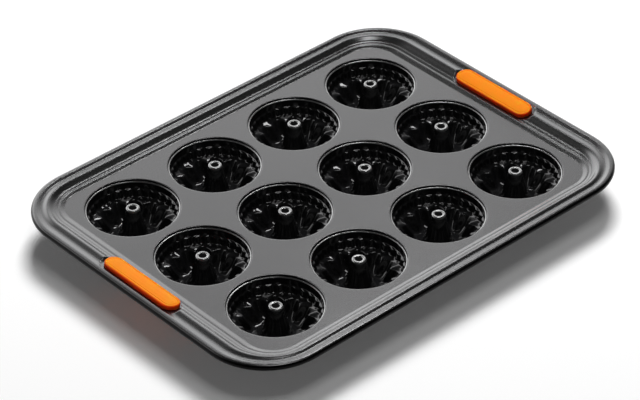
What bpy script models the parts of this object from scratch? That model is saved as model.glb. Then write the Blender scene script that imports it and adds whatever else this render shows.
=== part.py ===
"""Mini fluted tube pan.

A pressed steel tray carries twelve fluted cups with open tubes, a wire in its rolled rim and a soft grip
on each short side. Units are metres and +Z is up. The long side lies along X. The pan stands at Z = 0 on
the flat floors of its cups, with its middle at X = Y = 0.
"""
from math import atan2, cos, pi, radians, sin, tau

import bmesh
import bpy
from mathutils import Matrix, Vector

# Sheet and fits
SHEET = 0.0008
TOUCH_GAP = 0.0003

# Cup grid and panel
COLUMNS = 4
ROWS = 3
PITCH = 0.0841
PANEL_EDGE_X = 0.0435
PANEL_EDGE_Y = 0.0441
PANEL_CORNER = 0.023
HOLE_RADIUS = 0.0375
HOLE_STEPS = 32

# Cups: depths run down from the top of the panel, and CUP_DEPTH ends under the floor
CUP_DEPTH = 0.028
LEDGE_WIDTH = 0.0011
SEAM_WIDTH = 0.0028
BAND_DEPTH = 0.013
BAND_TAPER = 0.0034
LOBES = 12
LOBE_TURN = radians(4)
LOBE_HEIGHT = 0.0048
LOBE_TOP_DEPTH = 0.0146
LOBE_TOP_RADIUS = 0.0286
LOBE_FOOT_DEPTH = 0.0235
LOBE_FOOT_RADIUS = 0.0228
FLOOR_OUTER_RADIUS = 0.0188
FLOOR_INNER_RADIUS = 0.0120
TUBE_TOP_RADIUS = 0.0053
TUBE_HOLE_RADIUS = 0.0028

# Flange: widths run from the panel's edge to the middle of the rim's curl. Each ring of the flange has a
# rise over the panel and lies this far out on the short sides, and in proportion nearer on the long ones
FLANGE_SHORT_SIDE = 0.0287
FLANGE_LONG_SIDE = 0.0211
BEAD_OUT = 0.0055
BEAD_RISE = 0.0014
CREASE_OUT = 0.0080
CREASE_RISE = 0.00165
CREST_OUT = 0.0172
CREST_RISE = 0.0049
LEDGE_START_OUT = 0.0202
LEDGE_END_OUT = 0.0228
LEDGE_RISE = 0.00385
SHOULDER_OUT = 0.0264
SHOULDER_RISE = 0.0051

# Rolled rim and its wire
RIM_CORNER = 0.0516
CORNER_STEPS = 6
CURL_RADIUS = 0.0027
CURL_RISE = 0.00265
CURL_START = radians(95)
CURL_END = radians(-175)
CURL_STEPS = 10

# Grips: each has a pad on the flange, a neck through its slot and a pad below it
GRIP_LENGTH = 0.081
GRIP_WIDTH = 0.0165
GRIP_THICKNESS = 0.0037
GRIP_EDGE_ROUND = 0.0011
NECK_LENGTH = 0.066
NECK_WIDTH = 0.007
UNDERPAD_LENGTH = 0.077
UNDERPAD_WIDTH = 0.013
UNDERPAD_THICKNESS = 0.002
UNDERPAD_EDGE_ROUND = 0.0007
SEAT_MARGIN = 0.002
SEAT_INNER_RISE = 0.0010
SEAT_OUTER_RISE = 0.0043
RIDGE_END = 0.004
END_STEPS = 8

# Modelling tolerances
SHARP_ANGLE = radians(35)
MERGE_DISTANCE = 0.00001
CUT_REACH = 0.002

PANEL_TOP = CUP_DEPTH
PANEL_HALF_X = (COLUMNS - 1) / 2 * PITCH + PANEL_EDGE_X
PANEL_HALF_Y = (ROWS - 1) / 2 * PITCH + PANEL_EDGE_Y
SEAT_HALF = GRIP_LENGTH / 2 + SEAT_MARGIN
SEAT_INNER = CREASE_OUT
SEAT_OUTER = SHOULDER_OUT
GRIP_OUT = SEAT_INNER + GRIP_WIDTH / 2


def empty_scene():
    """Removes every object of the scene."""
    for obj in list(bpy.data.objects):
        bpy.data.objects.remove(obj, do_unlink=True)


def new_collection(name):
    """Collection linked to the scene."""
    collection = bpy.data.collections.new(name)
    bpy.context.scene.collection.children.link(collection)
    return collection


def new_material(name, colour, roughness, metallic):
    """Principled material with one colour."""
    material = bpy.data.materials.new(name)
    material.use_nodes = True
    shader = material.node_tree.nodes["Principled BSDF"]
    shader.inputs["Base Color"].default_value = (*colour, 1)
    shader.inputs["Roughness"].default_value = roughness
    shader.inputs["Metallic"].default_value = metallic
    return material


def new_object(name, data, collection):
    """Object of a mesh or curve, linked to a collection."""
    obj = bpy.data.objects.new(name, data)
    collection.objects.link(obj)
    return obj


def finish_mesh(bm, name, material=None):
    """Mesh of a bmesh, shaded smooth but for its sharp edges."""
    mesh = bpy.data.meshes.new(name)
    bm.to_mesh(mesh)
    bm.free()
    mesh.shade_smooth()
    mesh.set_sharp_from_angle(angle=SHARP_ANGLE)
    if material:
        mesh.materials.append(material)
    return mesh


def baked_mesh(obj, name):
    """Mesh of an object with its modifiers applied. The object itself is removed."""
    bpy.context.view_layer.update()
    mesh = bpy.data.meshes.new_from_object(obj.evaluated_get(bpy.context.evaluated_depsgraph_get()))
    mesh.name = name
    bpy.data.objects.remove(obj, do_unlink=True)
    return mesh


def hide_guide(obj):
    """Marks an object as a cutter, which isn't a piece of the pan."""
    obj.hide_render = True
    obj.display_type = "WIRE"


def thicken(obj):
    """Gives an open skin the sheet's thickness, on the side that its normals point away from."""
    solidify = obj.modifiers.new("Sheet", "SOLIDIFY")
    solidify.solidify_mode = "NON_MANIFOLD"
    solidify.nonmanifold_thickness_mode = "CONSTRAINTS"
    solidify.nonmanifold_merge_threshold = MERGE_DISTANCE
    solidify.thickness = SHEET
    solidify.offset = -1


def combine(obj, other, operation):
    """Adds a Boolean modifier."""
    boolean = obj.modifiers.new(f"{operation.title()} {other.name}", "BOOLEAN")
    boolean.operation = operation
    boolean.solver = "EXACT"
    boolean.object = other


def join_rings(bm, inner, outer):
    """Faces between two rings of as many vertices. Seen from above, both run anticlockwise."""
    count = len(inner)
    for i in range(count):
        j = (i + 1) % count
        bm.faces.new((inner[i], outer[i], outer[j], inner[j]))


def seat_rise(across):
    """Rise over the panel of the sloping seat of a grip, at a distance from the panel's edge."""
    share = (across - SEAT_INNER) / (SEAT_OUTER - SEAT_INNER)
    return SEAT_INNER_RISE + share * (SEAT_OUTER_RISE - SEAT_INNER_RISE)


def rounded_ring(half_x, half_y, corner, rise, rise_at_seat):
    """Points of a rounded rectangle, anticlockwise, which has a rise of its own at the grips' seats."""
    points = []
    for turn, (side_x, side_y) in enumerate([(1, 1), (-1, 1), (-1, -1), (1, -1)]):
        for step in range(CORNER_STEPS + 1):
            angle = (turn + step / CORNER_STEPS) * pi / 2
            x = side_x * (half_x - corner) + corner * cos(angle)
            y = side_y * (half_y - corner) + corner * sin(angle)
            points.append(Vector((x, y, PANEL_TOP + rise)))
        if side_x != side_y:
            for along, height in [(-SEAT_HALF - RIDGE_END, rise), (-SEAT_HALF, rise_at_seat),
                                  (SEAT_HALF, rise_at_seat), (SEAT_HALF + RIDGE_END, rise)]:
                points.append(Vector((side_x * half_x, side_x * along, PANEL_TOP + height)))
    return points


def flange_ring(across, rise, seated=False):
    """Ring of the flange. A seated ring follows the slope of the grips' seats there."""
    share = across / FLANGE_SHORT_SIDE
    half_x = PANEL_HALF_X + across
    half_y = PANEL_HALF_Y + share * FLANGE_LONG_SIDE
    corner = PANEL_CORNER + share * (RIM_CORNER - PANEL_CORNER)
    return rounded_ring(half_x, half_y, corner, rise, seat_rise(across) if seated else rise)


def rim_ring(out, rise):
    """Ring that runs parallel to the middle of the rim's curl."""
    half_x = PANEL_HALF_X + FLANGE_SHORT_SIDE + out
    half_y = PANEL_HALF_Y + FLANGE_LONG_SIDE + out
    return rounded_ring(half_x, half_y, RIM_CORNER + out, rise, rise)


def tray_rings():
    """Rings of the tray's upper skin, from the panel's edge outward and round the curl."""
    rings = [
        flange_ring(0, 0),
        flange_ring(BEAD_OUT, BEAD_RISE),
        flange_ring(CREASE_OUT, CREASE_RISE, seated=True),
        flange_ring(CREST_OUT, CREST_RISE, seated=True),
        flange_ring(LEDGE_START_OUT, LEDGE_RISE, seated=True),
        flange_ring(LEDGE_END_OUT, LEDGE_RISE, seated=True),
        flange_ring(SHOULDER_OUT, SHOULDER_RISE, seated=True),
    ]
    for step in range(CURL_STEPS + 1):
        angle = CURL_START + step / CURL_STEPS * (CURL_END - CURL_START)
        rings.append(rim_ring(CURL_RADIUS * cos(angle), CURL_RISE + CURL_RADIUS * sin(angle)))
    return rings


def cup_places():
    """Name and middle of each cup."""
    for column in range(COLUMNS):
        for row in range(ROWS):
            x = (column - (COLUMNS - 1) / 2) * PITCH
            y = ((ROWS - 1) / 2 - row) * PITCH
            yield f"cup_{column + 1}_{row + 1}", Vector((x, y, 0))


def grip_places():
    """Name and place of each grip. Locally Z = 0 is the skin of its seat, and +X points up the slope."""
    slope = atan2(SEAT_OUTER_RISE - SEAT_INNER_RISE, SEAT_OUTER - SEAT_INNER)
    shift = Matrix.Translation((PANEL_HALF_X + GRIP_OUT, 0, PANEL_TOP + seat_rise(GRIP_OUT)))
    place = shift @ Matrix.Rotation(-slope, 4, "Y")
    yield "grip_right", place
    yield "grip_left", Matrix.Rotation(pi, 4, "Z") @ place


def stadium_slab(name, length, width, low, high, collection):
    """Flat slab with round ends, its length along Y, between two heights."""
    radius = width / 2
    outline = []
    for end in (1, -1):
        for step in range(END_STEPS + 1):
            angle = step / END_STEPS * pi
            outline.append((end * radius * cos(angle), end * (length / 2 - radius + radius * sin(angle))))
    curve = bpy.data.curves.new(name, "CURVE")
    curve.dimensions = "2D"
    curve.fill_mode = "BOTH"
    curve.extrude = (high - low) / 2
    spline = curve.splines.new("POLY")
    spline.points.add(len(outline) - 1)
    for point, (x, y) in zip(spline.points, outline):
        point.co = (x, y, 0, 1)
    spline.use_cyclic_u = True
    flat = baked_mesh(new_object(name, curve, collection), name)
    bm = bmesh.new()
    bm.from_mesh(flat)
    bpy.data.meshes.remove(flat)
    bmesh.ops.remove_doubles(bm, verts=bm.verts, dist=MERGE_DISTANCE)
    bmesh.ops.translate(bm, verts=bm.verts, vec=(0, 0, (low + high) / 2))
    return new_object(name, finish_mesh(bm, name), collection)


def round_outline(obj, height, radius):
    """Rounds the edges round a slab's face at one height."""
    bm = bmesh.new()
    bm.from_mesh(obj.data)
    outline = [edge for edge in bm.edges if edge.calc_face_angle() > SHARP_ANGLE
               and all(abs(vert.co.z - height) < MERGE_DISTANCE for vert in edge.verts)]
    bmesh.ops.bevel(bm, geom=outline, offset=radius, segments=2, profile=0.5, affect="EDGES")
    bm.to_mesh(obj.data)
    bm.free()


def hole_cutter(guides):
    """One cutter with a cylinder through the panel for each cup."""
    bm = bmesh.new()
    for _, middle in cup_places():
        place = Matrix.Translation(middle + Vector((0, 0, PANEL_TOP - SHEET / 2)))
        bmesh.ops.create_cone(bm, cap_ends=True, segments=HOLE_STEPS, radius1=HOLE_RADIUS,
                              radius2=HOLE_RADIUS, depth=SHEET + 2 * CUT_REACH, matrix=place)
    cutter = new_object("cup_holes", finish_mesh(bm, "cup_holes"), guides)
    hide_guide(cutter)
    return cutter


def slot_cutter(name, place, guides):
    """Cutter for the slot that the neck of a grip passes through."""
    cutter = stadium_slab(name, NECK_LENGTH + 2 * TOUCH_GAP, NECK_WIDTH + 2 * TOUCH_GAP,
                          -SHEET - CUT_REACH, CUT_REACH, guides)
    cutter.matrix_world = place
    hide_guide(cutter)
    return cutter


def make_tray(parts, guides, material):
    """Pressed sheet with its panel, flange and rolled rim."""
    bm = bmesh.new()
    rings = [[bm.verts.new(point) for point in ring] for ring in tray_rings()]
    bm.faces.new(rings[0])
    for inner, outer in zip(rings, rings[1:]):
        join_rings(bm, inner, outer)
    tray = new_object("tray", finish_mesh(bm, "tray", material), parts)
    thicken(tray)
    combine(tray, hole_cutter(guides), "DIFFERENCE")
    for name, place in grip_places():
        combine(tray, slot_cutter(name + "_slot", place, guides), "DIFFERENCE")


def make_rim_wire(parts, material):
    """Wire along the middle of the curl."""
    curve = bpy.data.curves.new("rim_wire", "CURVE")
    curve.dimensions = "3D"
    curve.bevel_depth = CURL_RADIUS - SHEET - TOUCH_GAP
    curve.bevel_resolution = 2
    curve.materials.append(material)
    route = rim_ring(0, CURL_RISE)
    spline = curve.splines.new("POLY")
    spline.points.add(len(route) - 1)
    for point, place in zip(spline.points, route):
        point.co = (*place, 1)
    spline.use_cyclic_u = True
    new_object("rim_wire", curve, parts)


def cup_profile():
    """Depth, radius and lobe height of each ring of a cup's inner skin, from the tube's hole outward."""
    mouth = HOLE_RADIUS - LEDGE_WIDTH
    under_panel = SHEET + TOUCH_GAP
    floor = CUP_DEPTH - SHEET
    return [
        (0, TUBE_HOLE_RADIUS, 0),
        (0, TUBE_TOP_RADIUS, 0),
        (floor, FLOOR_INNER_RADIUS, 0),
        (floor, FLOOR_OUTER_RADIUS, 0),
        (LOBE_FOOT_DEPTH, LOBE_FOOT_RADIUS, LOBE_HEIGHT),
        (LOBE_TOP_DEPTH, LOBE_TOP_RADIUS, LOBE_HEIGHT),
        (BAND_DEPTH, mouth - BAND_TAPER, 0),
        (under_panel, mouth, 0),
        (under_panel, HOLE_RADIUS + SEAM_WIDTH, 0),
    ]


def make_cups(parts, material):
    """Drawn cups that share one mesh. Every second point of a lobed ring stands in towards the tube."""
    bm = bmesh.new()
    count = 2 * LOBES
    rings = []
    for depth, radius, height in cup_profile():
        ring = []
        for i in range(count):
            reach = radius + (height / 2 if i % 2 else -height / 2)
            angle = LOBE_TURN + i / count * tau
            ring.append(bm.verts.new((reach * cos(angle), reach * sin(angle), PANEL_TOP - depth)))
        rings.append(ring)
    for inner, outer in zip(rings, rings[1:]):
        join_rings(bm, inner, outer)
    mesh = finish_mesh(bm, "cup", material)
    for name, middle in cup_places():
        cup = new_object(name, mesh, parts)
        cup.location = middle
        thicken(cup)


def make_grips(parts, guides, material):
    """Moulded grips that share one mesh."""
    pad_top = TOUCH_GAP + GRIP_THICKNESS
    under_top = -SHEET - TOUCH_GAP
    under_bottom = under_top - UNDERPAD_THICKNESS
    pad = stadium_slab("pad", GRIP_LENGTH, GRIP_WIDTH, TOUCH_GAP, pad_top, guides)
    round_outline(pad, pad_top, GRIP_EDGE_ROUND)
    under = stadium_slab("underpad", UNDERPAD_LENGTH, UNDERPAD_WIDTH, under_bottom, under_top, guides)
    round_outline(under, under_bottom, UNDERPAD_EDGE_ROUND)
    neck = stadium_slab("neck", NECK_LENGTH, NECK_WIDTH, (under_bottom + under_top) / 2,
                        (TOUCH_GAP + pad_top) / 2, guides)
    combine(pad, neck, "UNION")
    combine(pad, under, "UNION")
    mesh = baked_mesh(pad, "grip")
    mesh.materials.clear()
    mesh.materials.append(material)
    for piece in (under, neck):
        bpy.data.objects.remove(piece, do_unlink=True)
    for name, place in grip_places():
        new_object(name, mesh, parts).matrix_world = place


def main():
    """Builds the pan."""
    empty_scene()
    parts = new_collection("mini_fluted_tube_pan")
    guides = new_collection("cutters")
    make_tray(parts, guides, new_material("satin grey coating", (0.13, 0.13, 0.135), 0.42, 0.6))
    make_rim_wire(parts, new_material("plain steel", (0.55, 0.55, 0.56), 0.35, 1))
    make_cups(parts, new_material("gloss black coating", (0.012, 0.012, 0.013), 0.16, 0.2))
    make_grips(parts, guides, new_material("orange silicone", (0.9, 0.26, 0.02), 0.5, 0))


main()
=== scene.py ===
"""Dressed model of a mini fluted tube pan.

A pressed tray with a rolled, wired rim carries twelve fluted cups with open tubes, and a moulded grip
sits on each short side. Units are metres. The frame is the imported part's own: the cups' floors stand at
Z = 0, the long side lies along X and the grips are at its two ends.
"""
import logging
from dataclasses import dataclass
from enum import Enum
from math import atan2, cos, pi, radians, sin, tau
from typing import Iterator, Sequence

import bmesh
import bpy
from mathutils import Matrix, Vector


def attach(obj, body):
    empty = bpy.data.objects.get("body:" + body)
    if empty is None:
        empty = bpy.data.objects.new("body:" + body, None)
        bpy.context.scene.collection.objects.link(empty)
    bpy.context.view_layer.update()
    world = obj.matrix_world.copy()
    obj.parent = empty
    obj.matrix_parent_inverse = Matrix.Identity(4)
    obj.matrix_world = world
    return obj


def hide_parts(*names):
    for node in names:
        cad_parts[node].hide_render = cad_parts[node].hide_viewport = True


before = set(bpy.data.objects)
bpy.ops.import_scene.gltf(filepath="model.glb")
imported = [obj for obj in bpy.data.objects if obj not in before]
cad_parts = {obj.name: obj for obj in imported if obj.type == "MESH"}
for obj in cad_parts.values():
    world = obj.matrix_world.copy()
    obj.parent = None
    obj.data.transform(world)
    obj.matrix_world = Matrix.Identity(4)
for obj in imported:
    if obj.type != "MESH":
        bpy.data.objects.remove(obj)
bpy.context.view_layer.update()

log = logging.getLogger("tube_pan")

Socket = bpy.types.NodeSocket
Operand = Socket | float
Colour = tuple[float, float, float]
Row = tuple[float, ...]

NEAR = 0.000001


class Side(Enum):
    """Short side of the pan that a grip sits on, as its turn from the right one."""

    LEFT = pi
    RIGHT = 0.0


class Slot(Enum):
    """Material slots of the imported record."""

    TRAY = "tray_coating"
    CUP = "cup_coating"
    WIRE = "wire"
    GRIP = "grip"


@dataclass(frozen=True)
class SheetFit:
    """Sheet thickness and clearance that the pieces share."""

    sheet: float = 0.0008
    gap: float = 0.0003
    panel_top: float = 0.028


@dataclass(frozen=True)
class CupGrid:
    """Places of the twelve cups."""

    columns: int = 4
    rows: int = 3
    pitch: float = 0.0841
    hole_radius: float = 0.0375

    def places(self) -> Iterator[tuple[str, Vector]]:
        """Gives each cup's place.

        Returns:
            The node name and the middle of each cup, one after the other.
        """
        for column in range(self.columns):
            for row in range(self.rows):
                x = (column - (self.columns - 1) / 2) * self.pitch
                y = ((self.rows - 1) / 2 - row) * self.pitch
                yield f"cup_{column + 1}_{row + 1}", Vector((x, y, 0))


@dataclass(frozen=True)
class Bend:
    """Corner of a section. Its arc reaches a length along both edges, and shares say what shows there."""

    across: float
    rise: float
    reach: float = 0.0
    flute: float = 0.0
    rib: float = 0.0
    bare: float = 0.0

    def row(self) -> Row:
        """Returns the corner's place, then its shares of flute, rib and bare metal."""
        return self.across, self.rise, self.flute, self.rib, self.bare


def rounded(bends: Sequence[Bend], steps: int = 4) -> list[Row]:
    """Rounds the corners of an open section with parabolic arcs.

    Args:
        bends: Corners of the section in order.
        steps: Pieces of each arc.

    Returns:
        Points of the rounded line, each with its place and its shares.
    """
    corners = [Vector(bend.row()) for bend in bends]
    line = [tuple(corners[0])]
    for before, at, after, bend in zip(corners, corners[1:], corners[2:], bends[1:]):
        if not bend.reach:
            line.append(tuple(at))
            continue
        start = at.lerp(before, min(0.5, bend.reach / (at - before).xy.length))
        end = at.lerp(after, min(0.5, bend.reach / (at - after).xy.length))
        for step in range(steps + 1):
            t = step / steps
            line.append(tuple(start.lerp(at, t).lerp(at.lerp(end, t), t)))
    line.append(tuple(corners[-1]))
    return line


def smooth_step(low: float, high: float, value: float) -> float:
    """Returns a share from 0 at low to 1 at high, with level ends."""
    t = min(1.0, max(0.0, (value - low) / (high - low)))
    return t * t * (3 - 2 * t)


def nearest(point: Vector, middles: Sequence[Vector]) -> float:
    """Returns how far a point is in plan from the nearest of some middles."""
    return min((point - middle).xy.length for middle in middles)


class Wiring:
    """Adds nodes to one node tree and joins them."""

    def __init__(self, tree: bpy.types.NodeTree) -> None:
        """Starts on a shader or geometry node tree."""
        self.tree = tree

    def add(self, kind: str, *values: object, out: str | None = None, **settings: object) -> Socket:
        """Adds a node, fills its inputs in order and returns one of its outputs.

        Args:
            kind: Type name of the node.
            values: Sockets to link or values to set, one for each enabled input in order. None leaves
                one as it is.
            out: Name of the enabled output to return, or None for the first.
            settings: Properties of the node.

        Returns:
            The chosen output socket.
        """
        node = self.tree.nodes.new(kind)
        for name, value in settings.items():
            setattr(node, name, value)
        for socket, value in zip([s for s in node.inputs if s.enabled], values):
            if isinstance(value, Socket):
                self.tree.links.new(value, socket)
            elif value is not None:
                socket.default_value = value
        outputs = [s for s in node.outputs if s.enabled]
        return outputs[0] if out is None else next(s for s in outputs if s.name == out)

    def math(self, operation: str, first: Operand, second: Operand | None = None) -> Socket:
        """Adds a Math node with one or two operands and returns its value."""
        return self.add("ShaderNodeMath", first, second, operation=operation)

    def ramp(self, value: Socket, span: tuple[float, float], low: float, high: float) -> Socket:
        """Adds a smooth step from a low to a high number over a span of values and returns it."""
        return self.add("ShaderNodeMapRange", value, *span, low, high, interpolation_type="SMOOTHSTEP")

    def along(self, way: Socket, axis: Row) -> Socket:
        """Returns how far a direction points along an axis."""
        return self.add("ShaderNodeVectorMath", way, axis, operation="DOT_PRODUCT", out="Value")

    def rays(self) -> tuple[Socket, Socket]:
        """Adds a light path.

        Returns:
            Whether a ray is the camera's own, and whether it is that or a mirrored or passed one.
        """
        path = self.add("ShaderNodeLightPath").node.outputs
        sent_on = self.math("MAXIMUM", path["Is Glossy Ray"], path["Is Transmission Ray"])
        return path["Is Camera Ray"], self.math("MAXIMUM", path["Is Camera Ray"], sent_on)

    def group_input(self) -> bpy.types.NodeOutputs:
        """Adds a group input node and returns its outputs."""
        return self.tree.nodes.new("NodeGroupInput").outputs

    def group_output(self, **values: Socket) -> None:
        """Links sockets to the outputs of the group.

        Args:
            values: Sockets, by the outputs' names.
        """
        node = self.tree.nodes.new("NodeGroupOutput")
        for name, socket in values.items():
            self.tree.links.new(socket, node.inputs[name])

    def group_mesh(self, geometry: Socket, material: Socket) -> None:
        """Ends a geometry group with smooth, real and dressed geometry.

        Args:
            geometry: What the group has made.
            material: Input that holds its finish.
        """
        smooth = self.add("GeometryNodeSetShadeSmooth", geometry)
        real = self.add("GeometryNodeRealizeInstances", smooth)
        dressed = self.add("GeometryNodeSetMaterial", real)
        self.tree.links.new(material, dressed.node.inputs["Material"])
        self.group_output(Geometry=dressed)


def node_group(name: str, kind: str, inputs: dict[str, str], outputs: dict[str, str]) -> Wiring:
    """Starts a node group.

    Args:
        name: Name of the group.
        kind: Type name of its tree.
        inputs: Names of its inputs, with their types.
        outputs: Names of its outputs, with their types.

    Returns:
        The wiring of the new group.
    """
    tree = bpy.data.node_groups.new(name, kind)
    for way, sockets in (("INPUT", inputs), ("OUTPUT", outputs)):
        for key, carried in sockets.items():
            tree.interface.new_socket(key, in_out=way, socket_type=f"NodeSocket{carried}")
    return Wiring(tree)


def new_object(name: str, data: bpy.types.ID) -> bpy.types.Object:
    """Adds an object to the scene.

    Args:
        name: Name of the object.
        data: Its mesh, camera or light.

    Returns:
        The new object.
    """
    obj = bpy.data.objects.new(name, data)
    bpy.context.scene.collection.objects.link(obj)
    return obj


def bake(obj: bpy.types.Object, name: str) -> bpy.types.Mesh:
    """Turns an object with its modifiers into a plain mesh and removes the object.

    Args:
        obj: Object whose modifiers are ready.
        name: Name of the new mesh.

    Returns:
        The evaluated mesh.
    """
    bpy.context.view_layer.update()
    graph = bpy.context.evaluated_depsgraph_get()
    mesh = bpy.data.meshes.new_from_object(obj.evaluated_get(graph))
    mesh.name = name
    bpy.data.objects.remove(obj, do_unlink=True)
    return mesh


def grow(mesh: bpy.types.Mesh, tree: bpy.types.NodeTree, name: str, **sizes: object) -> bpy.types.Mesh:
    """Runs a geometry node tree on a mesh.

    Args:
        mesh: Mesh that the tree starts from.
        tree: Geometry node tree with named inputs.
        name: Name of the new mesh.
        sizes: Value of each input, by name with _ for each blank.

    Returns:
        The plain mesh that the tree makes.
    """
    obj = new_object(name, mesh)
    modifier = obj.modifiers.new(name, "NODES")
    modifier.node_group = tree
    sockets = {item.name: item.identifier for item in tree.interface.items_tree if item.in_out == "INPUT"}
    for key, value in sizes.items():
        modifier[sockets[key.replace("_", " ")]] = value
    return bake(obj, name)


def thicken(mesh: bpy.types.Mesh, name: str, sheet: float) -> bpy.types.Mesh:
    """Gives an open skin a sheet's thickness on its back.

    Args:
        mesh: Skin whose faces look away from the sheet's back.
        name: Name of the new mesh.
        sheet: Thickness of the sheet.

    Returns:
        The closed mesh.
    """
    obj = new_object(name, mesh)
    solidify = obj.modifiers.new("Sheet", "SOLIDIFY")
    solidify.thickness = sheet
    solidify.offset = -1
    solidify.use_even_offset = True
    return bake(obj, name)


def skin_of(rings: Sequence[Sequence[Vector]], mark: str, shares: Sequence[float]) -> bmesh.types.BMesh:
    """Joins closed rings of as many points into a skin.

    Args:
        rings: Rings of points, which all run the same way round.
        mark: Name of the attribute that says where the finish's second look shows.
        shares: Share of that look on each ring.

    Returns:
        A bmesh with a band of faces between each two rings.
    """
    bm = bmesh.new()
    layer = bm.verts.layers.float.new(mark)
    verts = [[bm.verts.new(point) for point in ring] for ring in rings]
    for ring, share in zip(verts, shares):
        for vert in ring:
            vert[layer] = share
    for inner, outer in zip(verts, verts[1:]):
        for i, vert in enumerate(inner):
            j = (i + 1) % len(inner)
            bm.faces.new((vert, outer[i], outer[j], inner[j]))
    return bm


def as_mesh(bm: bmesh.types.BMesh, name: str) -> bpy.types.Mesh:
    """Turns a bmesh into a smooth mesh and frees it.

    Args:
        bm: Finished bmesh.
        name: Name of the new mesh.

    Returns:
        The new mesh.
    """
    mesh = bpy.data.meshes.new(name)
    bm.to_mesh(mesh)
    bm.free()
    mesh.shade_smooth()
    return mesh


def show(name: str, mesh: bpy.types.Mesh, material: bpy.types.Material, slot: Slot, *nodes: str) -> None:
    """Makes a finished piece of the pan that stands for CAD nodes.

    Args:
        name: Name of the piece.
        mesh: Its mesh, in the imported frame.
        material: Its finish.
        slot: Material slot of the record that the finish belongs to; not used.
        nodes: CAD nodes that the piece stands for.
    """
    mesh.materials.clear()
    mesh.materials.append(material)
    piece = new_object(name, mesh)
    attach(piece, "root")
    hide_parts(*nodes)
    log.info("%s: %d faces in place of %s", name, len(mesh.polygons), ", ".join(nodes))


@dataclass
class SprayedGrain:
    """Shader group for the fine grain and the slow waves of a sprayed or moulded skin."""

    cloud_size: float = 0.045
    grain_in_tone: float = 0.6
    noise_roughness: float = 0.55

    def __post_init__(self) -> None:
        """Builds the group once for every material."""
        inputs = {"Grain Size": "Float", "Wave Size": "Float", "Grain Share": "Float",
                  "Tone Spread": "Float", "Gloss Spread": "Float"}
        outputs = {"Height": "Float", "Tone": "Float", "Gloss": "Float"}
        wiring = node_group("sprayed_grain", "ShaderNodeTree", inputs, outputs)
        given = wiring.group_input()
        place = wiring.add("ShaderNodeTexCoord", out="Object")
        grain = self._noise(wiring, place, given["Grain Size"], detail=3.0)
        wave = self._noise(wiring, place, given["Wave Size"], detail=1.0)
        cloud = self._noise(wiring, place, self.cloud_size, detail=2.0)
        height = wiring.add("ShaderNodeMix", given["Grain Share"], wave, grain, data_type="FLOAT")
        both = wiring.math("ADD", wiring.math("MULTIPLY", grain, self.grain_in_tone),
                           wiring.math("MULTIPLY", cloud, 1 - self.grain_in_tone))
        wiring.group_output(Height=height, Tone=self._spread(wiring, both, given["Tone Spread"]),
                            Gloss=self._spread(wiring, cloud, given["Gloss Spread"]))
        self.tree = wiring.tree

    def _noise(self, wiring: Wiring, place: Socket, size: Operand, detail: float) -> Socket:
        """Adds a noise whose blobs have a size in metres and returns its value."""
        scale = wiring.math("DIVIDE", 1.0, size)
        return wiring.add("ShaderNodeTexNoise", place, scale, detail, self.noise_roughness)

    @staticmethod
    def _spread(wiring: Wiring, value: Socket, spread: Socket) -> Socket:
        """Turns a noise into a factor round 1.

        Args:
            wiring: Tree that it is in.
            value: Noise from 0 to 1.
            spread: How far the factor goes from 1 at most.

        Returns:
            The factor.
        """
        off = wiring.math("SUBTRACT", value, 0.5)
        return wiring.math("ADD", wiring.math("MULTIPLY", off, wiring.math("MULTIPLY", spread, 2.0)), 1.0)


@dataclass(frozen=True)
class Accent:
    """Second look of a finish, which a piece blends in with a point attribute of its own."""

    attribute: str
    colour: Colour
    roughness: float
    metallic: float = 0.0


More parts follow.
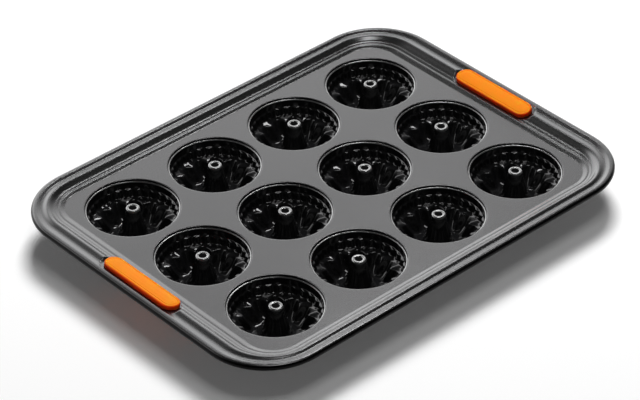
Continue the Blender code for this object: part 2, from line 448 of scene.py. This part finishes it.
@dataclass(frozen=True)
class Finish:
    """A coated, drawn or moulded finish."""

    name: str
    colour: Colour
    roughness: float
    metallic: float = 0.0
    specular: float = 0.5
    subsurface: float = 0.0
    subsurface_radius: Colour = (1.0, 0.12, 0.03)
    subsurface_scale: float = 0.006
    accent: Accent | None = None
    grain_size: float = 0.0004
    wave_size: float = 0.004
    grain_share: float = 0.5
    tone_spread: float = 0.1
    gloss_spread: float = 0.05
    bump: float = 0.00002

    def material(self, grain: SprayedGrain) -> bpy.types.Material:
        """Builds the material.

        Args:
            grain: Shader group for the skin's grain.

        Returns:
            A material with its colour, gloss and relief from nodes.
        """
        material = bpy.data.materials.new(self.name)
        material.use_nodes = True
        wiring = Wiring(material.node_tree)
        link = wiring.tree.links.new
        shader = wiring.tree.nodes["Principled BSDF"]
        skin = wiring.tree.nodes.new("ShaderNodeGroup")
        skin.node_tree = grain.tree
        for key, value in {"Grain Size": self.grain_size, "Wave Size": self.wave_size,
                           "Grain Share": self.grain_share, "Tone Spread": self.tone_spread,
                           "Gloss Spread": self.gloss_spread}.items():
            skin.inputs[key].default_value = value
        base, rough = self._looks(wiring, shader)
        colour = wiring.add("ShaderNodeVectorMath", base, operation="SCALE")
        link(skin.outputs["Tone"], colour.node.inputs["Scale"])
        link(colour, shader.inputs["Base Color"])
        link(wiring.math("MULTIPLY", skin.outputs["Gloss"], rough), shader.inputs["Roughness"])
        bump = wiring.tree.nodes.new("ShaderNodeBump")
        bump.inputs["Distance"].default_value = self.bump
        link(skin.outputs["Height"], bump.inputs["Height"])
        link(bump.outputs["Normal"], shader.inputs["Normal"])
        for key, value in {"Specular IOR Level": self.specular, "Subsurface Weight": self.subsurface,
                           "Subsurface Radius": self.subsurface_radius,
                           "Subsurface Scale": self.subsurface_scale}.items():
            shader.inputs[key].default_value = value
        return material

    def _looks(self, wiring: Wiring, shader: bpy.types.ShaderNode) -> tuple[Socket, Operand]:
        """Sets the metallic share and blends the accent in.

        Args:
            wiring: The material's tree.
            shader: Its Principled BSDF.

        Returns:
            The colour and the roughness.
        """
        if self.accent is None:
            shader.inputs["Metallic"].default_value = self.metallic
            return wiring.add("ShaderNodeCombineXYZ", *self.colour), self.roughness
        accent = self.accent
        amount = wiring.add("ShaderNodeAttribute", out="Fac", attribute_name=accent.attribute)
        colour = wiring.add("ShaderNodeMix", amount, (*self.colour, 1), (*accent.colour, 1), data_type="RGBA")
        rough = wiring.add("ShaderNodeMix", amount, self.roughness, accent.roughness, data_type="FLOAT")
        metal = wiring.add("ShaderNodeMix", amount, self.metallic, accent.metallic, data_type="FLOAT")
        wiring.tree.links.new(metal, shader.inputs["Metallic"])
        return colour, rough


@dataclass(frozen=True)
class Finishes:
    """The pan's four finishes."""

    tray: Finish = Finish(
        "satin_grey_coating", (0.148, 0.148, 0.15), roughness=0.25, metallic=0.95,
        # The accent is painted shade: near black on the lower outer side of the rim's curl and on the walls
        # of the panel's holes.
        accent=Accent("painted_shade", (0.006, 0.006, 0.006), roughness=0.3, metallic=1.0),
        grain_size=0.0005, wave_size=0.006, gloss_spread=0.1, bump=0.000003)
    cup: Finish = Finish(
        "gloss_black_coating", (0.006, 0.006, 0.0065), roughness=0.09, specular=0.68,
        accent=Accent("bare_edge", (0.34, 0.34, 0.34), roughness=0.2, metallic=0.9),
        grain_size=0.0008, wave_size=0.003, grain_share=0.25, gloss_spread=0.15)
    wire: Finish = Finish(
        "drawn_wire", (0.5, 0.5, 0.51), roughness=0.32, metallic=1.0,
        grain_size=0.0003, wave_size=0.002, bump=0.00001)
    grip: Finish = Finish(
        "orange_silicone", (0.95, 0.265, 0.01), roughness=0.55, specular=0.15, subsurface=0.9,
        # The accent is painted shade: a redder, darker orange on the grip's sides and on its parts below the
        # tray.
        accent=Accent("painted_flank_shade", (1.0, 0.1, 0.006), roughness=0.55),
        grain_size=0.0005, wave_size=0.003, grain_share=0.6, tone_spread=0.05, bump=0.00004)


@dataclass
class Tray:
    """Pressed tray: a flat panel with twelve holes, a stepped flange and a rolled rim."""

    fit: SheetFit
    grid: CupGrid
    panel_edge_x: float = 0.0435
    panel_edge_y: float = 0.0441
    panel_corner: float = 0.023
    flange_short: float = 0.0287
    flange_long: float = 0.0211
    rim_corner: float = 0.0516
    corner_margin: float = 0.003
    corner_steps: int = 26
    curl_radius: float = 0.0027
    curl_rise: float = 0.00265
    curl_start: float = radians(86)
    curl_end: float = radians(-175)
    curl_steps: int = 26
    # Angles of the curl: below the first its painted shade is full, above the second it is gone.
    shade_full_below: float = radians(42)
    shade_gone_above: float = radians(76)
    hole_steps: int = 96
    hole_edge: float = 0.0006
    hole_edge_steps: int = 5
    # Share of the hole's rounded edge, from its wall, that takes painted shade.
    hole_shade_share: float = 0.1
    flat_margin: float = 0.0009
    seat_inner: float = 0.0080
    seat_inner_rise: float = 0.0010
    seat_outer: float = 0.0264
    seat_outer_rise: float = 0.0043
    seat_places: tuple[float, ...] = (0.0, 0.015, 0.028)
    ridge_start: float = 0.0323
    ridge_reach: float = 0.0092
    ridge_fade: float = 0.0034
    ridge_pitch: float = 0.0005
    ridge_steps: int = 28
    profile: tuple[Bend, ...] = (
        Bend(0.0, 0.0), Bend(0.0010, 0.0, 0.0008), Bend(0.0047, 0.0012, 0.0009),
        Bend(0.0058, 0.0013, 0.0004), Bend(0.0069, 0.00124, 0.0005), Bend(0.0091, 0.00193, 0.0006),
        Bend(0.0101, 0.00200, 0.0004), Bend(0.0120, 0.0027, 0.0008), Bend(0.0148, 0.0044, 0.0008),
        Bend(0.0166, 0.00495, 0.0007), Bend(0.0180, 0.0048, 0.0005), Bend(0.0202, 0.00412, 0.0008),
        Bend(0.0213, 0.0040, 0.0004), Bend(0.0230, 0.00404, 0.0008), Bend(0.0260, 0.0051, 0.0006),
        Bend(0.0269, 0.00536, 0.0005))

    def __post_init__(self) -> None:
        """Works out the panel's half sides, and where a short side's rings have points."""
        self.half_x = (self.grid.columns - 1) / 2 * self.grid.pitch + self.panel_edge_x
        self.half_y = (self.grid.rows - 1) / 2 * self.grid.pitch + self.panel_edge_y
        fading = {self.ridge_start + self.ridge_pitch * step for step in range(-1, self.ridge_steps)}
        places = fading | set(self.seat_places)
        self.runs = sorted({-place for place in places} | places)

    def seat_rise(self, across: float) -> float:
        """Returns the height of a grip's sloping seat at a distance from the panel's edge."""
        share = (across - self.seat_inner) / (self.seat_outer - self.seat_inner)
        return self.seat_inner_rise + share * (self.seat_outer_rise - self.seat_inner_rise)

    def seated_rise(self, across: float, along: float, rise: float) -> float:
        """Presses the raised ridge down to a grip's seat, with an end that goes round the grip's.

        Args:
            across: Distance from the panel's edge.
            along: Distance from the middle of the short side.
            rise: Height that the ridge has beyond the seat.

        Returns:
            Height over the panel.
        """
        off = across - (self.seat_inner + self.seat_outer) / 2
        start = self.ridge_start + max(0.0, self.ridge_reach ** 2 - off * off) ** 0.5
        seat = self.seat_rise(across)
        return seat + (rise - seat) * smooth_step(start, start + self.ridge_fade, abs(along))

    def ring(self, half_x: float, half_y: float, corner: float, rise: float,
             across: float | None = None) -> list[Vector]:
        """Points of a rounded rectangle, anticlockwise.

        Args:
            half_x: Half of its long side.
            half_y: Half of its short side.
            corner: Radius of its corners.
            rise: Height over the panel.
            across: Distance from the panel's edge where the grips' seats press the ring down, or None.

        Returns:
            The ring's points.
        """
        top = self.fit.panel_top
        points = []
        for turn, (side_x, side_y) in enumerate(((1, 1), (-1, 1), (-1, -1), (1, -1))):
            x, y = side_x * (half_x - corner), side_y * (half_y - corner)
            for step in range(self.corner_steps + 1):
                angle = (turn + step / self.corner_steps) * pi / 2
                points.append(Vector((x + corner * cos(angle), y + corner * sin(angle), top + rise)))
            if side_x == side_y:
                end = half_x - corner - self.corner_margin
                points += [Vector((side_x * run, side_y * half_y, top + rise)) for run in (end, -end)]
                continue
            end = half_y - corner - self.corner_margin
            for run in (-end, *self.runs, end):
                height = rise if across is None else self.seated_rise(across, run, rise)
                points.append(Vector((side_x * half_x, side_x * run, top + height)))
        return points

    def flange_ring(self, across: float, rise: float) -> list[Vector]:
        """Makes a ring of the flange.

        Args:
            across: Distance from the panel's edge, as it is on the short sides.
            rise: Height over the panel.

        Returns:
            The ring's points.
        """
        share = across / self.flange_short
        seated = across if self.seat_inner <= across <= self.seat_outer else None
        return self.ring(self.half_x + across, self.half_y + share * self.flange_long,
                         self.panel_corner + share * (self.rim_corner - self.panel_corner), rise, seated)

    def rim_ring(self, out: float, rise: float) -> list[Vector]:
        """Returns a ring at a distance from the middle of the rim's curl and a height over the panel."""
        return self.ring(self.half_x + self.flange_short + out, self.half_y + self.flange_long + out,
                         self.rim_corner + out, rise)

    def skin(self) -> bmesh.types.BMesh:
        """Makes the upper skin of the tray, with plain round holes in its panel.

        Returns:
            An open bmesh.
        """
        angles = [self.curl_start + step / self.curl_steps * (self.curl_end - self.curl_start)
                  for step in range(self.curl_steps + 1)]
        curl = [(self.curl_radius * cos(angle), self.curl_rise + self.curl_radius * sin(angle))
                for angle in angles]
        start = Bend(self.flange_short + curl[0][0], curl[0][1])
        flange = rounded((*self.profile, start))[:-1]
        rings = [self.flange_ring(across, rise) for across, rise, *_ in flange]
        rings += [self.rim_ring(out, rise) for out, rise in curl]
        # Painted shade: the lower outer side of the curl is marked to take the near black accent.
        shade_shares = [0.0 for _ in flange]
        shade_shares += [1 - smooth_step(self.shade_full_below, self.shade_gone_above, angle) for angle in angles]
        bm = skin_of(rings, "painted_shade", shade_shares)
        outline = [edge for edge in bm.edges if edge.is_boundary and self._on_panel(edge.verts[0].co)]
        for _, middle in self.grid.places():
            outline += self._hole(bm, middle)
        bmesh.ops.triangle_fill(bm, use_beauty=True, use_dissolve=False, edges=outline, normal=(0, 0, 1))
        return bm

    def _on_panel(self, point: Vector) -> bool:
        """Returns whether a point is on the flat panel or its edge."""
        return (point.z < self.fit.panel_top + NEAR and abs(point.x) < self.half_x + NEAR
                and abs(point.y) < self.half_y + NEAR)

    def _hole(self, bm: bmesh.types.BMesh, middle: Vector) -> list[bmesh.types.BMEdge]:
        """Adds a flat ring of faces round a hole.

        Args:
            bm: The tray's skin.
            middle: Middle of the cup that the hole is for.

        Returns:
            The ring's outer edges.
        """
        loops = []
        for radius in (self.grid.hole_radius, self.grid.hole_radius + self.hole_edge + self.flat_margin):
            turns = [step / self.hole_steps * tau for step in range(self.hole_steps)]
            loops.append([bm.verts.new(middle + Vector((radius * cos(turn), radius * sin(turn),
                                                        self.fit.panel_top))) for turn in turns])
        edges = []
        for i in range(self.hole_steps):
            j = (i + 1) % self.hole_steps
            bm.faces.new((loops[0][i], loops[1][i], loops[1][j], loops[0][j]))
            edges.append(bm.edges.get((loops[1][i], loops[1][j])))
        return edges

    def round_holes(self, mesh: bpy.types.Mesh) -> None:
        """Rounds the edges of the panel's holes, and marks their walls for the same painted shade as the
        rim's underside.

        Args:
            mesh: The tray's sheet, which changes in place.
        """
        bm = bmesh.new()
        bm.from_mesh(mesh)
        wall = self.grid.hole_radius
        middles = [middle for _, middle in self.grid.places()]
        edges = [edge for edge in bm.edges if abs(edge.verts[0].co.z - edge.verts[1].co.z) < NEAR
                 and all(abs(nearest(vert.co, middles) - wall) < NEAR for vert in edge.verts)]
        bmesh.ops.bevel(bm, geom=edges, offset=self.hole_edge, segments=self.hole_edge_steps,
                        profile=0.5, affect="EDGES")
        # Painted shade: the hole walls take the near black accent.
        layer = bm.verts.layers.float["painted_shade"]
        for vert in bm.verts:
            if nearest(vert.co, middles) < wall + self.hole_shade_share * self.hole_edge:
                vert[layer] = 1
        bm.to_mesh(mesh)
        bm.free()

    def build(self, material: bpy.types.Material) -> None:
        """Builds the tray's piece.

        Args:
            material: Its finish.
        """
        bm = self.skin()
        bmesh.ops.recalc_face_normals(bm, faces=bm.faces)
        if sum(face.normal.z * face.calc_area() for face in bm.faces) < 0:
            bmesh.ops.reverse_faces(bm, faces=bm.faces)
        mesh = thicken(as_mesh(bm, "tray_skin"), "tray_sheet", self.fit.sheet)
        self.round_holes(mesh)
        mesh.shade_smooth()
        show("tray_pressing", mesh, material, Slot.TRAY, "tray")


@dataclass
class RimWire:
    """Wire inside the rolled rim, which follows the tray's own rim ring."""

    tray: Tray
    sides: int = 14

    def tree(self) -> bpy.types.NodeTree:
        """Makes geometry nodes that lay a round wire along a closed line.

        Returns:
            The node tree.
        """
        inputs = {"Geometry": "Geometry", "Radius": "Float", "Sides": "Int", "Material": "Material"}
        wiring = node_group("wire_along_rim", "GeometryNodeTree", inputs, {"Geometry": "Geometry"})
        given = wiring.group_input()
        route = wiring.add("GeometryNodeMeshToCurve", given["Geometry"])
        section = wiring.add("GeometryNodeCurvePrimitiveCircle", given["Sides"])
        wiring.tree.links.new(given["Radius"], section.node.inputs["Radius"])
        wiring.group_mesh(wiring.add("GeometryNodeCurveToMesh", route, section), given["Material"])
        return wiring.tree

    def build(self, material: bpy.types.Material) -> None:
        """Builds the wire's piece.

        Args:
            material: Its finish.
        """
        route = self.tray.rim_ring(0, self.tray.curl_rise)
        base = bpy.data.meshes.new("rim_route")
        base.from_pydata(route, [(i, (i + 1) % len(route)) for i in range(len(route))], [])
        radius = self.tray.curl_radius - self.tray.fit.sheet - self.tray.fit.gap
        mesh = grow(base, self.tree(), "rim_wire_drawn", Radius=radius, Sides=self.sides, Material=material)
        show("rim_wire_drawn", mesh, material, Slot.WIRE, "rim_wire")


@dataclass
class Cups:
    """Twelve drawn cups: an open tube, a ring of ribs round the trough and a band of fine flutes.

    The profile runs from the tube's inside, down to the trough and up to the flange under the panel.
    """

    fit: SheetFit
    grid: CupGrid
    steps: int = 240
    flutes: int = 30
    flute_height: float = 0.0015
    flute_turn: float = radians(10)
    ribs: int = 12
    rib_height: float = 0.0048
    rib_turn: float = radians(4)
    rib_crispness: float = 1.5
    seam: float = 0.000002
    profile: tuple[Bend, ...] = (
        Bend(0.0030, -0.0014), Bend(0.0030, -0.0001, 0.0007, bare=1), Bend(0.0042, 0.0, bare=1),
        Bend(0.0053, 0.0, 0.0010, bare=1), Bend(0.0058, -0.0016, 0.0005), Bend(0.0082, -0.0120, 0.001),
        Bend(0.0122, -0.0272, 0.0026), Bend(0.0150, -0.0272), Bend(0.0184, -0.0271, 0.0024, rib=0.25),
        Bend(0.0208, -0.0254, 0.0012, rib=0.6), Bend(0.0226, -0.0230, 0.001, rib=1),
        Bend(0.0250, -0.0190, 0.001, rib=1), Bend(0.0277, -0.0147, 0.0009, rib=1),
        Bend(0.0315, -0.0139, 0.0006, flute=0.3, rib=0.4), Bend(0.0337, -0.0134, 0.0007, flute=0.9),
        Bend(0.0345, -0.0110, 0.0008, flute=1), Bend(0.0351, -0.0078, 0.0006, flute=1),
        Bend(0.0353, -0.0072, 0.0002), Bend(0.0361, -0.0022, 0.0005),
        Bend(0.0362, -0.0015, 0.0003, bare=1), Bend(0.0368, -0.0014, bare=1), Bend(0.0372, -0.0014),
        Bend(0.0380, -0.0011), Bend(0.0403, -0.0011))

    def tree(self) -> bpy.types.NodeTree:
        """Makes geometry nodes that turn a profile round the axis and press its flutes and ribs.

        Returns:
            The node tree.
        """
        inputs = {"Geometry": "Geometry", "Rows": "Int", "Steps": "Int", "Flutes": "Float",
                  "Flute Height": "Float", "Flute Turn": "Float", "Ribs": "Float", "Rib Height": "Float",
                  "Rib Turn": "Float", "Rib Crispness": "Float", "Seam": "Float", "Material": "Material"}
        wiring = node_group("fluted_cup", "GeometryNodeTree", inputs, {"Geometry": "Geometry"})
        given = wiring.group_input()
        columns = wiring.math("ADD", given["Steps"], 1.0)
        grid = wiring.add("GeometryNodeMeshGrid", 1.0, 1.0, columns, given["Rows"])
        here = wiring.add("GeometryNodeInputPosition")
        x, y = self._split(wiring, here)
        last = wiring.math("SUBTRACT", given["Rows"], 1.0)
        row = wiring.math("ROUND", wiring.math("MULTIPLY", wiring.math("ADD", y, 0.5), last))
        turn = wiring.math("MULTIPLY", wiring.math("ADD", x, 0.5), tau)
        at = wiring.add("GeometryNodeSampleIndex", given["Geometry"], here, row,
                        data_type="FLOAT_VECTOR", domain="POINT")
        radius, height = self._split(wiring, at)
        flute, rib, bare = (self._sampled(wiring, given["Geometry"], name, row)
                            for name in ("flute", "rib", "bare_edge"))
        pillar = wiring.math("COSINE", self._phase(wiring, turn, given["Flute Turn"], given["Flutes"]))
        pressed = wiring.math("MULTIPLY", wiring.math("ABSOLUTE", pillar),
                              wiring.math("MULTIPLY", flute, given["Flute Height"]))
        wave = wiring.math("SINE", self._phase(wiring, turn, given["Rib Turn"], given["Ribs"]))
        valley = wiring.math("POWER", wiring.math("ABSOLUTE", wave), given["Rib Crispness"])
        folded = wiring.math("MULTIPLY", wiring.math("SUBTRACT", 0.5, valley),
                             wiring.math("MULTIPLY", rib, given["Rib Height"]))
        reach = wiring.math("SUBTRACT", radius, wiring.math("ADD", pressed, folded))
        place = wiring.add("ShaderNodeCombineXYZ",
                           wiring.math("MULTIPLY", reach, wiring.math("COSINE", turn)),
                           wiring.math("MULTIPLY", reach, wiring.math("SINE", turn)), height)
        marked = wiring.add("GeometryNodeStoreNamedAttribute", grid, None, "bare_edge", bare,
                            data_type="FLOAT")
        closed = wiring.add("GeometryNodeMergeByDistance",
                            wiring.add("GeometryNodeSetPosition", marked, None, place))
        wiring.tree.links.new(given["Seam"], closed.node.inputs["Distance"])
        wiring.group_mesh(closed, given["Material"])
        return wiring.tree

    @staticmethod
    def _split(wiring: Wiring, vector: Socket) -> tuple[Socket, Socket]:
        """Returns a vector's first two numbers."""
        parts = wiring.add("ShaderNodeSeparateXYZ", vector).node.outputs
        return parts["X"], parts["Y"]

    @staticmethod
    def _sampled(wiring: Wiring, geometry: Socket, name: str, row: Socket) -> Socket:
        """Returns a named number of the profile at a row."""
        value = wiring.add("GeometryNodeInputNamedAttribute", name, data_type="FLOAT")
        return wiring.add("GeometryNodeSampleIndex", geometry, value, row, data_type="FLOAT", domain="POINT")

    @staticmethod
    def _phase(wiring: Wiring, turn: Socket, start: Socket, count: Socket) -> Socket:
        """Returns half of a repeating pattern's phase at an angle."""
        past = wiring.math("SUBTRACT", turn, start)
        return wiring.math("MULTIPLY", past, wiring.math("MULTIPLY", count, 0.5))

    def section(self) -> bpy.types.Mesh:
        """Lays a cup's profile out in the XY plane.

        Returns:
            A line with its flute, rib and bare shares as attributes.
        """
        line = rounded(self.profile)
        mesh = bpy.data.meshes.new("cup_section")
        mesh.from_pydata([(x, self.fit.panel_top + y, 0) for x, y, *_ in line],
                         [(i, i + 1) for i in range(len(line) - 1)], [])
        for place, name in enumerate(("flute", "rib", "bare_edge"), start=2):
            values = mesh.attributes.new(name, "FLOAT", "POINT")
            values.data.foreach_set("value", [point[place] for point in line])
        return mesh

    def build(self, material: bpy.types.Material) -> None:
        """Builds the twelve cups' pieces.

        Args:
            material: Their finish.
        """
        section = self.section()
        skin = grow(section, self.tree(), "cup_skin", Rows=len(section.vertices), Steps=self.steps,
                    Flutes=float(self.flutes), Flute_Height=self.flute_height, Flute_Turn=self.flute_turn,
                    Ribs=float(self.ribs), Rib_Height=self.rib_height, Rib_Turn=self.rib_turn,
                    Rib_Crispness=self.rib_crispness, Seam=self.seam, Material=material)
        if sum(polygon.normal.z for polygon in skin.polygons) < 0:
            skin.flip_normals()
        shell = thicken(skin, "cup_shell", self.fit.sheet)
        for name, middle in self.grid.places():
            mesh = shell.copy()
            mesh.transform(Matrix.Translation(middle))
            show(f"{name}_shell", mesh, material, Slot.CUP, name)


@dataclass
class Grip:
    """Moulded grip: a pad with a fine border line, a neck down through the tray, where the real tray has a
    slot that isn't cut here, and a pad below.
    """

    tray: Tray
    side: Side
    length: float = 0.081
    width: float = 0.0165
    thickness: float = 0.0037
    edge_round: float = 0.0022
    edge_draft: float = 0.0002
    foot_round: float = 0.0004
    foot_inset: float = 0.0012
    border_at: float = 0.0021
    border_width: float = 0.0009
    border_depth: float = 0.00035
    border_round: float = 0.0002
    crown: float = 0.0003
    crown_inset: float = 0.002
    crown_round: float = 0.001
    neck_length: float = 0.066
    neck_width: float = 0.007
    under_length: float = 0.077
    under_width: float = 0.013
    under_thickness: float = 0.002
    under_round: float = 0.0007
    under_draft: float = 0.0002
    # Shares of painted shade: on the neck and the pad below, and on the pad's sides up to where its face
    # starts.
    flank_shade_below: float = 0.6
    flank_shade_until: float = 0.0003
    face_from: float = 0.0014
    end_steps: int = 32
    line_steps: int = 5
    weld: float = 0.000005
    crease: float = radians(50)

    def ring(self, length: float, width: float, height: float) -> list[Vector]:
        """Makes a stadium outline with its length along Y.

        Args:
            length: Its length.
            width: Its width, and the diameter of its ends.
            height: Its height over the seat.

        Returns:
            The ring's points.
        """
        points = []
        for end in (1, -1):
            for step in range(self.end_steps + 1):
                angle = step / self.end_steps * pi
                y = end * ((length - width) / 2 + width / 2 * sin(angle))
                points.append(Vector((end * width / 2 * cos(angle), y, height)))
        return points

    def pad_line(self) -> list[Row]:
        """Makes the section of the upper pad, from its middle to the neck.

        Returns:
            Inset and height of each point, with shares that stay unused.
        """
        low = self.tray.fit.gap
        high = low + self.thickness
        half, border = self.width / 2, self.border_at
        groove = Bend(border + self.border_width / 2, high - self.border_depth, self.border_round)
        return rounded((
            Bend(half, high + self.crown), Bend(half - self.crown_inset, high + self.crown, self.crown_round),
            Bend(border + self.border_width, high, self.border_round), groove,
            Bend(border, high, self.border_round), Bend(self.edge_draft, high, self.edge_round),
            Bend(0.0, low, self.foot_round), Bend(self.foot_inset, low)), self.line_steps)

    def under_rings(self) -> list[list[Vector]]:
        """Makes the rings of the neck and of the pad below.

        Returns:
            The rings, from the upper pad's foot to the middle of the lowest face.
        """
        below = -self.tray.fit.sheet - self.tray.fit.gap
        lowest = below - self.under_thickness
        length, width = self.under_length, self.under_width
        insets = ((0.0, below), (0.0, lowest + self.under_round),
                  (self.under_draft, lowest + self.under_draft), (self.under_round, lowest))
        rings = [self.ring(self.neck_length, self.neck_width, height)
                 for height in (self.tray.fit.gap, below)]
        rings += [self.ring(length - 2 * inset, width - 2 * inset, height) for inset, height in insets]
        return rings + [self.ring(length - width, 0, lowest)]

    def build(self, material: bpy.types.Material) -> None:
        """Builds the grip's piece.

        Args:
            material: Its finish.
        """
        name = f"grip_{self.side.name.lower()}"
        line = self.pad_line()
        rings = [self.ring(self.length - 2 * inset, self.width - 2 * inset, height)
                 for inset, height, *_ in line]
        # Painted shade on the pad's sides and the parts below the tray, which the accent darkens and reddens.
        flank_shade_shares = [1 - smooth_step(self.flank_shade_until, self.face_from, inset) for inset, *_ in line]
        under = self.under_rings()
        bm = skin_of(rings + under, "painted_flank_shade", flank_shade_shares + [self.flank_shade_below] * len(under))
        bmesh.ops.remove_doubles(bm, verts=bm.verts, dist=self.weld)
        bmesh.ops.recalc_face_normals(bm, faces=bm.faces)
        mesh = as_mesh(bm, name)
        mesh.set_sharp_from_angle(angle=self.crease)
        mesh.transform(self.place())
        show(f"{name}_moulding", mesh, material, Slot.GRIP, name)

    def place(self) -> Matrix:
        """Works out where the grip sits.

        Returns:
            Its place, with local Z = 0 on the skin of its seat.
        """
        tray = self.tray
        slope = atan2(tray.seat_outer_rise - tray.seat_inner_rise, tray.seat_outer - tray.seat_inner)
        across = tray.seat_inner + self.width / 2
        shift = Matrix.Translation((tray.half_x + across, 0, tray.fit.panel_top + tray.seat_rise(across)))
        return Matrix.Rotation(self.side.value, 4, "Z") @ shift @ Matrix.Rotation(-slope, 4, "Y")


@dataclass(frozen=True)
class Softbox:
    """Rectangular studio light, aimed at the middle of the pan. A brightness of 1 looks white.

    The azimuth runs anticlockwise from +X. It and the elevation are in degrees.
    """

    name: str
    azimuth: float
    elevation: float
    distance: float
    width: float
    height: float
    brightness: float
    in_reflections: bool = True

    def build(self) -> None:
        """Adds the light."""
        light = bpy.data.lights.new(self.name, "AREA")
        light.shape = "RECTANGLE"
        light.size, light.size_y = self.width, self.height
        light.energy = self.brightness * pi * self.width * self.height
        lamp = new_object(self.name, light)
        around, up = radians(self.azimuth), radians(self.elevation)
        away = Vector((cos(up) * cos(around), cos(up) * sin(around), sin(up)))
        lamp.location = away * self.distance
        lamp.rotation_mode = "QUATERNION"
        lamp.rotation_quaternion = away.to_track_quat("Z", "Y")
        lamp.visible_camera = False
        lamp.visible_glossy = self.in_reflections


@dataclass
class Studio:
    """Camera, floor, backdrop and lights."""

    fit: SheetFit
    focal_pixels: float = 2950.3
    frame_pixels: float = 640
    sensor_width: float = 36
    clip_start: float = 0.05
    clip_end: float = 50
    target: tuple[float, float] = (-0.01315, -0.00822)
    distance: float = 2.3006
    azimuth: float = radians(-41.6202)
    elevation: float = radians(36.1912)
    roll: float = radians(0.846)
    floor_size: float = 6
    floor_white: float = 0.92
    floor_glow: float = 0.065
    fill: float = 0.055
    back_azimuth: float = radians(85)
    lean: float = 0.15
    sweep_glow: float = 1.5
    sweep_span: tuple[float, float] = (0.54, 0.61)
    edge_glow: float = 0.86
    edge_span: tuple[float, float] = (0.58, 0.80)
    dark_glow: float = 0.03
    lights: tuple[Softbox, ...] = (
        Softbox("key", azimuth=41.7, elevation=55.2, distance=3.0, width=1.1, height=1.1,
                brightness=25, in_reflections=False),
        Softbox("key_glint", azimuth=38.5, elevation=54.0, distance=1.7, width=0.3, height=0.28,
                brightness=9),
        Softbox("overhead", azimuth=275, elevation=79, distance=3.0, width=1.0, height=1.0,
                brightness=4.0))

    def camera(self) -> None:
        """Adds the camera at the place that the photograph was taken from."""
        data = bpy.data.cameras.new("camera")
        data.sensor_width = self.sensor_width
        data.lens = data.sensor_width * self.focal_pixels / self.frame_pixels
        data.clip_start, data.clip_end = self.clip_start, self.clip_end
        camera = new_object("camera", data)
        flat = cos(self.elevation)
        back = Vector((sin(self.azimuth) * flat, -cos(self.azimuth) * flat, sin(self.elevation)))
        level = (-back).cross(Vector((0, 0, 1))).normalized()
        down = (-back).cross(level)
        right = level * cos(self.roll) + down * sin(self.roll)
        up = level * sin(self.roll) - down * cos(self.roll)
        axes = Matrix((right, up, back)).transposed()
        middle = Vector((*self.target, self.fit.panel_top))
        camera.matrix_world = Matrix.Translation(middle + back * self.distance) @ axes.to_4x4()
        bpy.context.scene.camera = camera

    def floor(self) -> None:
        """Adds a plain pale floor, which can't be seen from below."""
        bm = bmesh.new()
        bmesh.ops.create_grid(bm, x_segments=1, y_segments=1, size=self.floor_size)
        floor = new_object("floor", as_mesh(bm, "floor"))
        material = bpy.data.materials.new("pale_floor")
        material.use_nodes = True
        wiring = Wiring(material.node_tree)
        nodes = wiring.tree.nodes
        nodes.remove(nodes["Principled BSDF"])
        _, seen = wiring.rays()
        matte = wiring.add("ShaderNodeBsdfDiffuse", (self.floor_white,) * 3 + (1,))
        glow = wiring.add("ShaderNodeEmission", (1, 1, 1, 1), wiring.math("MULTIPLY", seen, self.floor_glow))
        pale = wiring.add("ShaderNodeAddShader", matte, glow)
        clear = wiring.add("ShaderNodeBsdfTransparent")
        behind = wiring.add("ShaderNodeNewGeometry", out="Backfacing")
        mixed = wiring.add("ShaderNodeMixShader", behind, pale, clear)
        wiring.tree.links.new(mixed, nodes["Material Output"].inputs["Surface"])
        floor.data.materials.append(material)

    def world(self) -> None:
        """Adds a weak even fill and a white backdrop, which reflections see glowing low behind the pan."""
        world = bpy.data.worlds.new("backdrop")
        bpy.context.scene.world = world
        world.use_nodes = True
        wiring = Wiring(world.node_tree)
        shader = world.node_tree.nodes["Background"]
        from_camera, seen = wiring.rays()
        way = wiring.add("ShaderNodeTexCoord", out="Generated")
        back = (cos(self.back_azimuth), sin(self.back_azimuth), 0)
        behind = wiring.ramp(wiring.along(way, back), (0.0, 1.0), 0.0, 1.0)
        height = wiring.add("ShaderNodeSeparateXYZ", way).node.outputs["Z"]
        leaning = (self.lean * cos(self.azimuth), self.lean * sin(self.azimuth), 1)
        low = wiring.ramp(wiring.along(way, leaning), self.sweep_span, 1.0, 0.0)
        edge = wiring.ramp(height, self.edge_span, self.edge_glow, 0.0)
        band = wiring.math("ADD", wiring.math("MULTIPLY", low, self.sweep_glow), edge)
        backdrop = wiring.math("ADD", wiring.math("MULTIPLY", behind, band), self.dark_glow)
        shown = wiring.add("ShaderNodeMix", from_camera, backdrop, 1.0, data_type="FLOAT")
        strength = wiring.add("ShaderNodeMix", seen, self.fill, shown, data_type="FLOAT")
        wiring.tree.links.new(strength, shader.inputs["Strength"])
        shader.inputs["Color"].default_value = (1, 1, 1, 1)

    def build(self) -> None:
        """Builds the studio."""
        bpy.context.scene.view_settings.view_transform = "Standard"
        self.camera()
        self.floor()
        self.world()
        for light in self.lights:
            light.build()


def main() -> None:
    """Builds the pan and its studio."""
    logging.basicConfig(level=logging.INFO, format="%(name)s: %(message)s")
    fit, grid = SheetFit(), CupGrid()
    Studio(fit).build()
    grain, finishes = SprayedGrain(), Finishes()
    tray = Tray(fit, grid)
    tray.build(finishes.tray.material(grain))
    RimWire(tray).build(finishes.wire.material(grain))
    Cups(fit, grid).build(finishes.cup.material(grain))
    silicone = finishes.grip.material(grain)
    for side in Side:
        Grip(tray, side).build(silicone)


if __name__ == "__main__":
    main()
